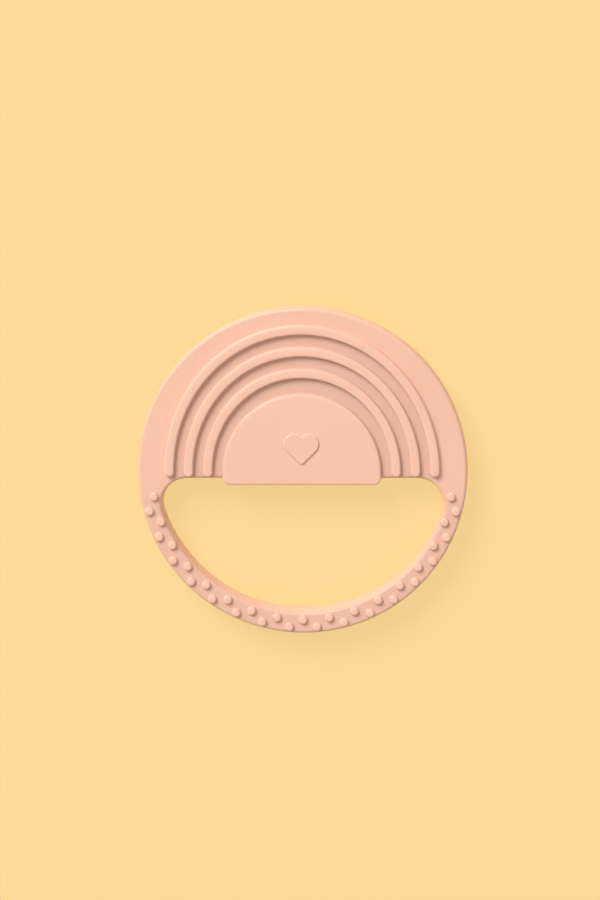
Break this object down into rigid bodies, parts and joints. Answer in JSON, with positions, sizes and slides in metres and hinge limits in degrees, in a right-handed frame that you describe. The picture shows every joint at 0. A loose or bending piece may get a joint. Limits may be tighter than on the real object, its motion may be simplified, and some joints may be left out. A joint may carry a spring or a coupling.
{
  "type": "teething ring",
  "caption": "Flat round silicone teething ring with a D-shaped grip opening, raised rainbow arches around a half-round pad, and rows of domed chewing nubs on the grip.",
  "frame": {"origin": "centre of the round rim, on the flat back face", "axes": "+Z out of the raised front face, +Y towards the crown of the arches, +X to the right seen from the front"},
  "size_m": [0.095, 0.095, 0.01],
  "materials": {
    "silicone": "satin"
  },
  "bodies": {
    "root": {"ring_body": "silicone", "sun_pad": "silicone", "heart_motif": "silicone", "arch_outer": "silicone", "arch_middle": "silicone", "arch_inner": "silicone", "nub_inner_01": "silicone", "nub_inner_02": "silicone", "nub_inner_03": "silicone", "nub_inner_04": "silicone", "nub_inner_05": "silicone", "nub_inner_06": "silicone", "nub_inner_07": "silicone", "nub_inner_08": "silicone", "nub_inner_09": "silicone", "nub_inner_10": "silicone", "nub_inner_11": "silicone", "nub_inner_12": "silicone", "nub_inner_13": "silicone", "nub_inner_14": "silicone", "nub_inner_15": "silicone", "nub_inner_16": "silicone", "nub_inner_17": "silicone", "nub_outer_01": "silicone", "nub_outer_02": "silicone", "nub_outer_03": "silicone", "nub_outer_04": "silicone", "nub_outer_05": "silicone", "nub_outer_06": "silicone", "nub_outer_07": "silicone", "nub_outer_08": "silicone", "nub_outer_09": "silicone", "nub_outer_10": "silicone", "nub_outer_11": "silicone", "nub_outer_12": "silicone", "nub_outer_13": "silicone", "nub_outer_14": "silicone", "nub_outer_15": "silicone", "nub_outer_16": "silicone"}
  },
  "joints": []
}
